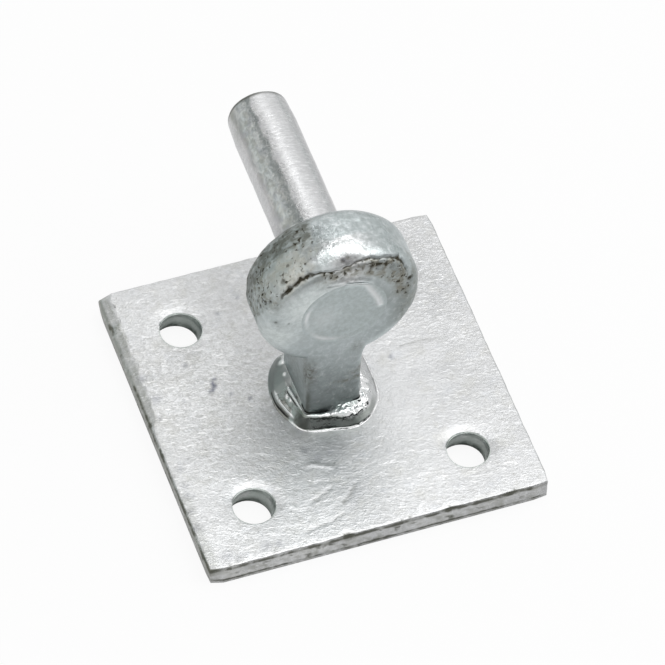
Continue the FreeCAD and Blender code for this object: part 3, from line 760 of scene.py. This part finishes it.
# Hinge pin, headed over in the eye's countersink
hingePin = {
    "x": 1.5,
    "z": 53.9,
    # Half section from the middle of the head to the middle of the free end: radius and Y
    "section": [(0, -9.92), (8, -9.92), (10.1, -9.95), (11.1, -10.2), (11.7, -10.27), (12.3, -10.22),
                (12.6, -10.12), (11.4, -9.7), (9.0, -8.0), (9.0, 9.8), (10.15, 9.8), (9.4, 10.65),
                (9.4, 56.3), (8.95, 63.2), (8.75, 63.9), (8.2, 64.25), (4, 64.3), (0, 64.3)],
    "step": 0.42,
    "around": 160,
    "skin": 0.05,
    "worn": 0.3,                # flattened by this much along the side towards -X
    # Painted highlights and painted shade as lighter and darker streaks along the pin: degrees clockwise
    # from the top, half width and change in tone
    "litAndShadedStreaks": [(-1, 10, 0.44), (-39, 10, 0.95), (-60, 8, -0.40), (52, 9, -0.36), (30, 8, -0.15)],
    "nicks": [((-8.2, 45, 49), 1.0, 0.25), ((-8.0, 41.5, 50.5), 0.8, 0.2)],
    # A fold of metal that runs on to the head from the eye, with a painted highlight along it
    "fold": [(2.5, 66.2), (5.5, 65.6), (7.6, 64.0), (9.5, 60.2), (11.2, 56.5), (11.9, 53.9)],
}


def makeHingePin(pin):
    section = evenSteps(pin["section"], pin["step"])[1:-1]    # without the middles of its two ends
    angle = np.linspace(0, 2 * math.pi, pin["around"], endpoint=False)
    radius, along = section[:, :1], np.repeat(section[:, 1:], pin["around"], axis=1)
    rings = np.stack([pin["x"] + radius * np.sin(angle), along, pin["z"] + radius * np.cos(angle)], axis=-1)
    store = PointStore()
    loops = [store.add(ring) for ring in rings]
    faces = list(faceLoops(loops))
    for loop, place in ((loops[0], pin["section"][0]), (loops[-1], pin["section"][-1])):
        middle = store.add([(pin["x"], place[1], pin["z"])])[0]
        faces += [(middle, first, second) for first, second in zip(loop, np.roll(loop, -1))]
    piece = addMesh("hingePin", store.all(), faces)
    points, outward = readPoints(piece)
    x, y, z = points.T
    outside = ramp(y, 10.5, 11.5) * fade(y, 64, 64.25)
    across, up = x - pin["x"], z - pin["z"]
    reach, angle = np.hypot(across, up), np.degrees(np.arctan2(across, up))
    push = pin["skin"] * (layeredNoise(points, 4, 31) - 0.5) * outside
    push -= pin["worn"] * hump(angle + 88, 28) * ramp(y, 16, 30)
    # Painted shade round the edge of the free end, and below, dirt in the nicks
    dirt = ramp(y, 62.6, 63.4) * (0.8 + 0.4 * smoothNoise(points, 4, 37))
    ragged = points * (1, 0.35, 1)    # drawn out along the pin
    # A ragged dark band along the pin, partly dirt and partly painted shade
    seam = angle + 22 + 5 * layeredNoise(ragged, 1.6, 38)
    nearEye = fade(y, 15, 30)
    seam = hump(np.minimum(seam, 0), 13) * hump(np.maximum(seam, 0), 5) * outside * (0.9 + 0.35 * nearEye)
    farLeft = hump(angle + 70, 15) * ramp(y, 50, 60) * (0.7 + 0.6 * smoothNoise(ragged, 1.2, 39))
    head = fade(y, -9.6, -9.3)
    lowerLeft = hump(turnFrom(angle, -128), 52)
    tone = sum(change * hump(turnFrom(angle, turn), width) for turn, width, change in pin["litAndShadedStreaks"])
    # Painted shade on the pin near the eye
    tone -= nearEye * (0.5 * hump(angle + 75, 18) + 0.2 * hump(angle + 26, 9) + 0.15 * hump(angle, 10))
    tone = 0.5 + outside * tone
    y -= 0.26 * (1 - lowerLeft) * head * fade(reach, 9.5, 11.2)    # the dish in the head
    bead = hump(reach - 10.5, 0.6) * hump(turnFrom(angle, 62), 28) * head
    y -= 0.22 * bead
    fold = hump(pathDistance(points[:, [0, 2]], pin["fold"]), 0.85) * head
    y -= 0.4 * fold
    for place, size, deep in pin["nicks"]:
        nick = spotAt(points, place, size)
        push -= deep * nick
        dirt += 0.6 * nick
    points += outward * push[:, None]
    writePoints(piece, points)
    # Painted highlights: light arcs round the head's edge and along the fold, and a lighter patch on the
    # head
    arc = np.maximum(hump(turnFrom(angle, -80), 22), hump(turnFrom(angle, -152), 26))
    arc *= hump(reach - 11.0, 0.55) * (1 + 0.4 * smoothNoise(points, 1.5, 34))
    arc += 0.3 * hump(np.hypot(across + 6, up + 1), 4.5)
    writeMasks(
        piece, dirt=dirt, head=head, seam=seam, farLeft=farLeft, tone=tone,
        dull=hump(angle + 42, 22) * outside,
        arc=arc * head + 1.2 * fold * (0.4 + 0.6 * ramp(x, 5, 9)),
    )
    fitPiece(piece, "hinge_pin", pinFinish(pin))


def pinFinish(pin):
    material, place = newFinish("galvanisedPin")
    dirt, head, seam, dull, farLeft, tone, arc = readMasks(place, "dirt head seam dull farLeft tone arc")
    cloud = place.noise(7, 3, 0.6)
    fine = place.noise(0.8, 3, 0.65)
    rings = place.stretch(0, (3, 0.7, 3)).noise(0.8, 3, 0.65, 0.3)
    frost = place.noise(1.3, 4, 0.7, 0.3)
    blot = place.stretch(0, (1, 1.6, 1)).noise(2.0, 3, 0.6, 0.4)
    turned = 1 - dull.math("MAXIMUM", dull, seam)    # the part whose turning marks show
    stain = place.noise(3, 4, 0.7, 0.5).ramp(0.42, 0.62)
    ragged = (seam * 0.9 + (frost - 0.5) * 1.3 + (fine - 0.5) * 1.6).ramp(0.1, 1.0)
    smooth = frost.ramp(0.28, 0.72).tint((0.42, 0.465, 0.46, 1), (0.53, 0.585, 0.59, 1))
    # the pin's tone carries painted highlights and painted shade
    colour = layCoats(tone.tint(grey(0.42, 0.018), grey(0.88, 0.008)), [
        (cloud.ramp(0.3, 0.7) * 0.3, grey(0.70, 0.005)),
        ((1 - frost).ramp(0.38, 0.66) * (0.18 + 0.18 * dull + 0.3 * seam), (0.34, 0.345, 0.34, 1)),
        ((1 - rings).ramp(0.40, 0.66) * turned * 0.2, (0.42, 0.42, 0.43, 1)),
        (rings.ramp(0.50, 0.70) * turned * 0.4, grey(0.93, 0.01)),
        (dull * stain * 0.4, (0.50, 0.46, 0.39, 1)),
        (dull * place.noise(4, 3, 0.6).ramp(0.5, 0.65) * 0.45, (0.50, 0.485, 0.54, 1)),
        (dull * blot.ramp(0.50, 0.62) * 0.33, (0.30, 0.305, 0.295, 1)),
        (dull * (1 - blot).ramp(0.50, 0.64) * 0.6, (0.93, 0.92, 0.90, 1)),
        # the ragged band: dirt and painted shade
        (ragged * seam.ramp(0.0, 0.3) * 0.76, (0.20, 0.225, 0.22, 1)),
        (farLeft * 0.75, (0.27, 0.29, 0.25, 1)),
        (dirt * 0.85, (0.11, 0.115, 0.10, 1)),
        (head, smooth),
        # painted highlights on the head and the fold
        (arc * 0.7, grey(0.85, 0.01)),
    ])
    height = fine * (0.06 + 0.12 * dull + 0.14 * seam) + rings * turned * 0.06
    height = height * (1 - 0.2 * head) + cloud * 0.12 + (blot - 0.5) * dull * 0.10
    roughness = 0.20 + 0.12 * cloud + 0.14 * head + 0.06 * dull
    closeFinish(colour, roughness, height)
    return material


# Weld bead round the shank's foot
baseWeld = {
    "shank": (16, 20),          # section of the shank it goes round
    "shankMiddle": (-0.1, -0.2),
    "shankCorner": 1.2,
    # Where the bead ends on the plate, anticlockwise from the middle of its -X side
    "toe": [(-14.6, 1.5), (-14.5, -2.7), (-13.9, -5.1), (-12.7, -7.6), (-11.4, -10.2), (-10.2, -12.2),
            (-7.9, -13.5), (-4.7, -14.5), (-1.2, -15.3), (2.9, -16.1), (5.4, -15.9), (7.5, -15.1),
            (9.4, -13.9), (11.3, -12.2), (13.1, -10.2), (14.4, -8), (15.1, -4.9), (15.3, -1.7), (15.3, 2),
            (15, 7), (13.5, 11.5), (9, 14.7), (3, 15.3), (-4, 15.1), (-8.8, 13.4), (-11.8, 10.3),
            (-13.6, 6)],
    "plateTop": 7,
    "around": 640,
    "across": 72,
    # Heights at even steps from the shank to the toe, at each of these turns in degrees from +X
    "sections": [(-180, (5.3, 4.5, 4.3, 4.25, 3.7, 3.2, 2.7, 2.3, 2.1, 1.0, 0)),
                 (-150, (5.2, 4.5, 4.3, 4.2, 3.7, 3.2, 2.7, 2.3, 2.0, 0.8, 0)),
                 (-136, (4.9, 4.5, 4.4, 4.2, 3.9, 3.5, 2.9, 2.0, 1.0, 0.4, 0)),
                 (-122, (4.2, 4.2, 4.4, 4.4, 4.1, 3.6, 2.7, 1.6, 0.6, 0.2, 0)),
                 (-110, (2.9, 3.2, 4.1, 4.2, 4.1, 3.8, 3.0, 1.9, 0.9, 0.25, 0)),
                 (-98, (3.2, 3.6, 4.2, 4.25, 4.1, 3.8, 3.1, 2.1, 1.0, 0.25, 0)),
                 (-86, (4.7, 4.8, 4.7, 4.6, 4.5, 4.3, 4.0, 3.4, 2.1, 0.5, 0)),
                 (-60, (5.4, 5.2, 5.0, 4.8, 4.7, 4.5, 4.3, 3.9, 2.7, 0.8, 0)),
                 (-40, (5.0, 5.0, 4.9, 4.8, 4.6, 4.3, 3.9, 3.2, 2.0, 0.6, 0)),
                 (0, (5.2, 5.0, 4.9, 4.6, 4.2, 3.6, 2.9, 2.1, 1.2, 0.4, 0)),
                 (90, (5.3, 5.2, 5.0, 4.7, 4.3, 3.7, 3.0, 2.2, 1.3, 0.5, 0)),
                 (150, (5.2, 4.9, 4.8, 4.6, 4.3, 3.9, 3.4, 2.8, 2.0, 0.9, 0))],
    "lump": 0.42,
    # Painted highlight lines and painted shade lines along the bead, raised and sunk a little too:
    # share of the way to the toe, half width, the two turns that they run between, and strength
    "highlightLines": [(0.26, 0.06, -186, -132, 1.0), (0.80, 0.045, -192, -140, 1.0),
                    (0.96, 0.05, -150, -34, 0.8), (0.52, 0.05, -176, -160, 0.6), (0.45, 0.03, -20, 25, 0.6),
                    (0.66, 0.03, -12, 12, 0.5)],
    "shadeLines": [(0.36, 0.035, -182, -138, 0.9), (0.91, 0.04, -196, -144, 0.9),
                  (0.13, 0.035, -190, -146, 0.6), (0.62, 0.06, -172, -142, 0.5),
                  (0.93, 0.05, -30, 60, 0.7)],
    # Drops of weld metal, raised, each with a painted glint: place and reach
    "drops": [((-8.9, 8.6), 0.9), ((-9.4, 4.4), 0.6), ((-11.0, -2.2), 0.45), ((-10.6, -3.9), 0.5),
              ((9.6, 4.5), 0.5), ((11.2, 1.2), 0.45), ((12.6, -3.5), 0.6)],
}


# A loop round the middle, through the given places, as points at these turns
def loopThrough(places, angles, soften):
    places = np.array(places, float)
    turns = np.arctan2(places[:, 1], places[:, 0])
    reach = np.interp(angles, turns, np.hypot(*places.T), period=2 * math.pi)
    reach = sum(np.roll(reach, step) for step in range(-soften, soften + 1)) / (2 * soften + 1)
    return np.stack([reach * np.cos(angles), reach * np.sin(angles)], axis=1)


# Points of a rectangle with rounded corners, seen from its middle at these turns
def roundedLoop(middle, half, corner, angles):
    ways = np.stack([np.cos(angles), np.sin(angles)], axis=1)
    reach = np.min(half / np.maximum(abs(ways), 1e-9), axis=1)
    return middle + roundCorners(ways * reach[:, None], -half, half, corner)[0]


# The lines that run along the bead, as far as this share of the way to its toe lies on them
def beadLines(lines, degrees, share):
    total = 0
    for middle, width, start, end, strength in lines:
        inside = ramp(turnFrom(degrees, start), 0, 8) * ramp(-turnFrom(degrees, end), 0, 8)
        total = np.maximum(total, strength * hump(share - middle, width) * inside)
    return total


def makeBaseWeld(weld):
    angles = np.linspace(-math.pi, math.pi, weld["around"], endpoint=False)
    degrees = np.degrees(angles)
    half = np.divide(weld["shank"], 2)
    wall = roundedLoop(weld["shankMiddle"], half, weld["shankCorner"], angles)
    toe = loopThrough(weld["toe"], angles, 8)
    circle = np.column_stack([8 * np.cos(angles), 8 * np.sin(angles), np.zeros(len(angles))])
    toe *= 1 + 0.012 * layeredNoise(circle, 4, 41)[:, None]
    turns, table = zip(*weld["sections"])
    shares = np.linspace(0, 1, len(table[0]))
    front = ramp(turnFrom(degrees, -147), 0, 11) * ramp(-degrees, 26, 46)    # 1 along the front
    rough = hump(turnFrom(degrees, -50), 40)    # the spattered corner at the front
    ripples = 0.05 * np.sin(72 * angles + 3 * smoothNoise(circle, 5, 53))
    ripples *= fade(-np.cos(angles), 0.45, 0.75) * (1 - front)    # neither at -X nor in front
    right = ramp(degrees, -104, -90)    # there the crease is narrower and broken
    broken = 1 - right * ramp(smoothNoise(circle, 1.6, 55), -0.3, 0.3)
    shift = 0.03 * smoothNoise(circle, 3, 45)
    waver = 1 + 0.3 * smoothNoise(circle, 2.2, 57)
    # Share of the way at which the front turns down
    fall = 0.50 + 0.24 * ramp(degrees, -98, -76) - 0.22 * hump(turnFrom(degrees, -134), 12)
    store = PointStore()
    loops, masks = [], {"dirt": [], "steep": [], "bright": []}
    for part in np.linspace(0, 1, weld["across"]) ** 0.9:
        flat = wall * (1 - part) + toe * part
        spots = np.column_stack([flat, np.zeros(len(flat))])
        near = [part - 0.04, part, part + 0.04]
        heights = [np.interp(near, shares, row).mean() for row in table]
        level = np.interp(degrees, turns, heights, period=360) * (1 - part ** 8)
        relief = ripples + 0.10 * layeredNoise(spots, 3.2, 47)
        lumps = rough * (1 - 0.7 * ramp(part, fall - 0.04, fall + 0.1))
        relief += weld["lump"] * layeredNoise(spots, 1.7, 43) * lumps
        level += relief * ramp(part, 0.02, 0.12) * fade(part, 0.78, 0.95)
        # Painted highlights and painted shade along the bead
        bright = waver * beadLines(weld["highlightLines"], degrees, part + shift)
        dark = waver * beadLines(weld["shadeLines"], degrees, part + shift)
        drops = sum(spotAt(flat, spot, size) for spot, size in weld["drops"])
        level += (0.3 * drops + 0.25 * bright - 0.2 * dark) * fade(part, 0.9, 1)
        loops.append(store.addLoop(flat, weld["plateTop"] + np.maximum(level, 0)))
        # Painted shade in the crease along the front, at the front corner at -X and on the steep front
        crease = hump(part - 0.02, 0.10 - 0.048 * right) * front * broken
        corner = hump(turnFrom(degrees, -131), 13) * ramp(part + shift, 0.35, 0.5) * fade(part, 0.88, 0.95)
        masks["dirt"].append(np.maximum.reduce([crease, 0.75 * dark, 0.55 * corner]))
        masks["bright"].append(np.maximum(bright, drops))
        masks["steep"].append(front * ramp(part + shift, fall - 0.05, fall + 0.03) * fade(part, 0.89, 0.96))
    for part in (0.7, 0.35, 0):
        loops.append(store.addLoop(wall * (1 - part) + toe * part, weld["plateTop"]))
    for part in (0.3, 0.6):
        loops.append(store.addLoop(wall, weld["plateTop"] + 3 * part))
    piece = addMesh("baseWeld", store.all(), faceLoops(loops + [loops[0]]))
    x, y = store.all()[:, :2].T
    # Painted light and shade: the bead lighter towards +X, and on its -X side darker in front of the shank,
    # darker and rougher behind it
    beside, behind = ramp(-x, 7.5, 9), ramp(y, -4, 4)
    hidden = np.zeros(store.count - weld["across"] * weld["around"])    # the points under the bead
    masks = {name: np.concatenate(rows + [hidden]) for name, rows in masks.items()}
    writeMasks(piece, dull=beside * behind, left=beside * (1 - behind), light=ramp(x, 6, 9), **masks)
    fitPiece(piece, "base_weld", weldFinish(weld))


def weldFinish(weld):
    material, place = newFinish("galvanisedWeld")
    dirt, steep, bright, dull, light, left = readMasks(place, "dirt steep bright dull light left")
    cloud = place.noise(3, 3, 0.6)
    fine = place.noise(0.6, 2, 0.5)
    colour = layCoats(cloud.ramp(0.3, 0.7).tint(zinc(0.52), grey(0.68, 0.005)), [
        # painted light towards +X and painted shade on the -X side
        (light * 0.8, grey(0.76, 0.005)),
        (dull * 0.8, zinc(0.24)),
        (left * (0.2 + 0.8 * cloud.ramp(0.38, 0.56)), (0.24, 0.245, 0.225, 1)),
        # painted shade on the steep front
        (steep * (0.6 + 0.2 * cloud), (0.20, 0.225, 0.20, 1)),
        # painted highlights and glints
        (bright.ramp(0.1, 0.8) * 0.85, grey(0.95, 0.002)),
        # dirt and painted shade in the crease and dark lines
        (dirt.ramp(0.2, 0.8), (0.02, 0.02, 0.018, 1)),
    ])
    closeFinish(colour, 0.12 + 0.10 * cloud + 0.3 * dirt + 0.2 * dull, fine * 0.05 + cloud * 0.2)
    return material


makeBackPlate(backPlate)
makeEyeShank(eyeShank)
makeHingePin(hingePin)
makeBaseWeld(baseWeld)

# Floor, lamps, reflected cards and world
studio = {
    "floorSide": 8000,
    "floorLevel": -0.05,
    "floorWhite": 0.95,
    "floorGlow": 0.91,          # share of plain white that the camera sees in the floor
    "worldLight": 0.55,
    # Soft lamps: place, side and power in watts
    "lamps": [((250, 30, 1100), 900, 4.2), ((900, -500, 700), 700, 2)],
    # Grey cards that only reflections see, each facing the object: middle, width, height, roll and grey
    "cards": [((-400, 280, 180), 800, 300, 0, 0.80), ((-420, 290, -10), 800, 130, 0, 0.66),
              ((-190, 270, 350), 92, 620, -30, 0.12), ((415, 275, 10), 500, 110, 0, 0.66),
              ((40, -140, 36), 520, 72, 0, 0.06)],
}


def addSheet(name, width, height, level=0):
    x, y = width / 2, height / 2
    corners = [(-x, -y, level), (x, -y, level), (x, y, level), (-x, y, level)]
    return addMesh(name, corners, [(0, 1, 2, 3)])


def addFloor(studio):
    floor = addSheet("floor", studio["floorSide"], studio["floorSide"], studio["floorLevel"])
    if floor.data.polygons[0].normal.z < 0:
        floor.data.flip_normals()
    material, place = newFinish("floorPaper")
    rays = place.node("LightPath", {}, {}, "Is Camera Ray")
    white = place.node("BsdfDiffuse", {}, {"Color": grey(studio["floorWhite"])})
    glow = place.node("Emission", {}, {"Color": (1, 1, 1, 1)})
    mixed = place.node("MixShader", {}, {0: rays * studio["floorGlow"], 1: white, 2: glow})
    place.node("OutputMaterial", {}, {"Surface": mixed})
    floor.data.materials.append(material)


def addCards(studio):
    for number, (middle, width, height, roll, level) in enumerate(studio["cards"]):
        card = addSheet(f"card{number}", width, height)
        card.location = Vector(middle) * mm
        card.rotation_mode = "QUATERNION"
        facing = (-card.location).to_track_quat("Z", "Y")
        card.rotation_quaternion = facing @ Quaternion((0, 0, 1), math.radians(roll))
        material, place = newFinish(f"cardGrey{number}")
        dull = place.node("BsdfDiffuse", {}, {"Color": zinc(level)})
        place.node("OutputMaterial", {}, {"Surface": dull})
        card.data.materials.append(material)
        card.visible_camera = False
        card.visible_diffuse = False
        card.visible_shadow = False


def addLamps(studio):
    for number, (place, side, power) in enumerate(studio["lamps"]):
        light = bpy.data.lights.new(f"softbox{number}", "AREA")
        light.size = side * mm
        light.energy = power
        lamp = bpy.data.objects.new(light.name, light)
        lamp.location = Vector(place) * mm
        lamp.rotation_euler = (-lamp.location).to_track_quat("-Z", "Y").to_euler()
        scene.collection.objects.link(lamp)


def addWorld(studio):
    world = bpy.data.worlds.new("studioWhite")
    scene.world = world
    world.use_nodes = True
    world.node_tree.nodes.clear()
    start = Wire(world.node_tree)
    seen = start.node("LightPath", {}, {}, "Is Camera Ray")
    for kind in ("Is Glossy Ray", "Is Transmission Ray"):
        seen = seen.math("MAXIMUM", seen, start.node("LightPath", {}, {}, kind))
    strength = seen + (1 - seen) * studio["worldLight"]
    glow = start.node("Background", {}, {"Color": (1, 1, 1, 1), "Strength": strength})
    start.node("OutputWorld", {}, {"Surface": glow})


addFloor(studio)
addCards(studio)
addLamps(studio)
addWorld(studio)
print("studio ready")

# Camera, at the photograph's viewing angle
cameraView = {
    "aim": (8.12, 13.83, 12.09),    # the point at the middle of the picture
    "azimuth": -22.04,              # degrees round from the front
    "elevation": 52.70,
    "roll": 3.41,
    "distance": 1623.3,
    "lens": 312.56,
    "sensor": 36,
    "clip": (0.1, 20),              # in metres
}


def addCamera(view):
    azimuth, elevation = math.radians(view["azimuth"]), math.radians(view["elevation"])
    back = Vector((math.sin(azimuth) * math.cos(elevation),
                   -math.cos(azimuth) * math.cos(elevation), math.sin(elevation)))
    data = bpy.data.cameras.new("camera")
    data.lens = view["lens"]
    data.sensor_width = view["sensor"]
    data.clip_start, data.clip_end = view["clip"]
    camera = bpy.data.objects.new("camera", data)
    camera.location = (Vector(view["aim"]) + back * view["distance"]) * mm
    camera.rotation_mode = "QUATERNION"
    roll = Quaternion((0, 0, 1), math.radians(view["roll"]))
    camera.rotation_quaternion = (-back).to_track_quat("-Z", "Y") @ roll
    scene.collection.objects.link(camera)
    scene.camera = camera


addCamera(cameraView)
scene.view_settings.view_transform = "Standard"
print("camera ready")
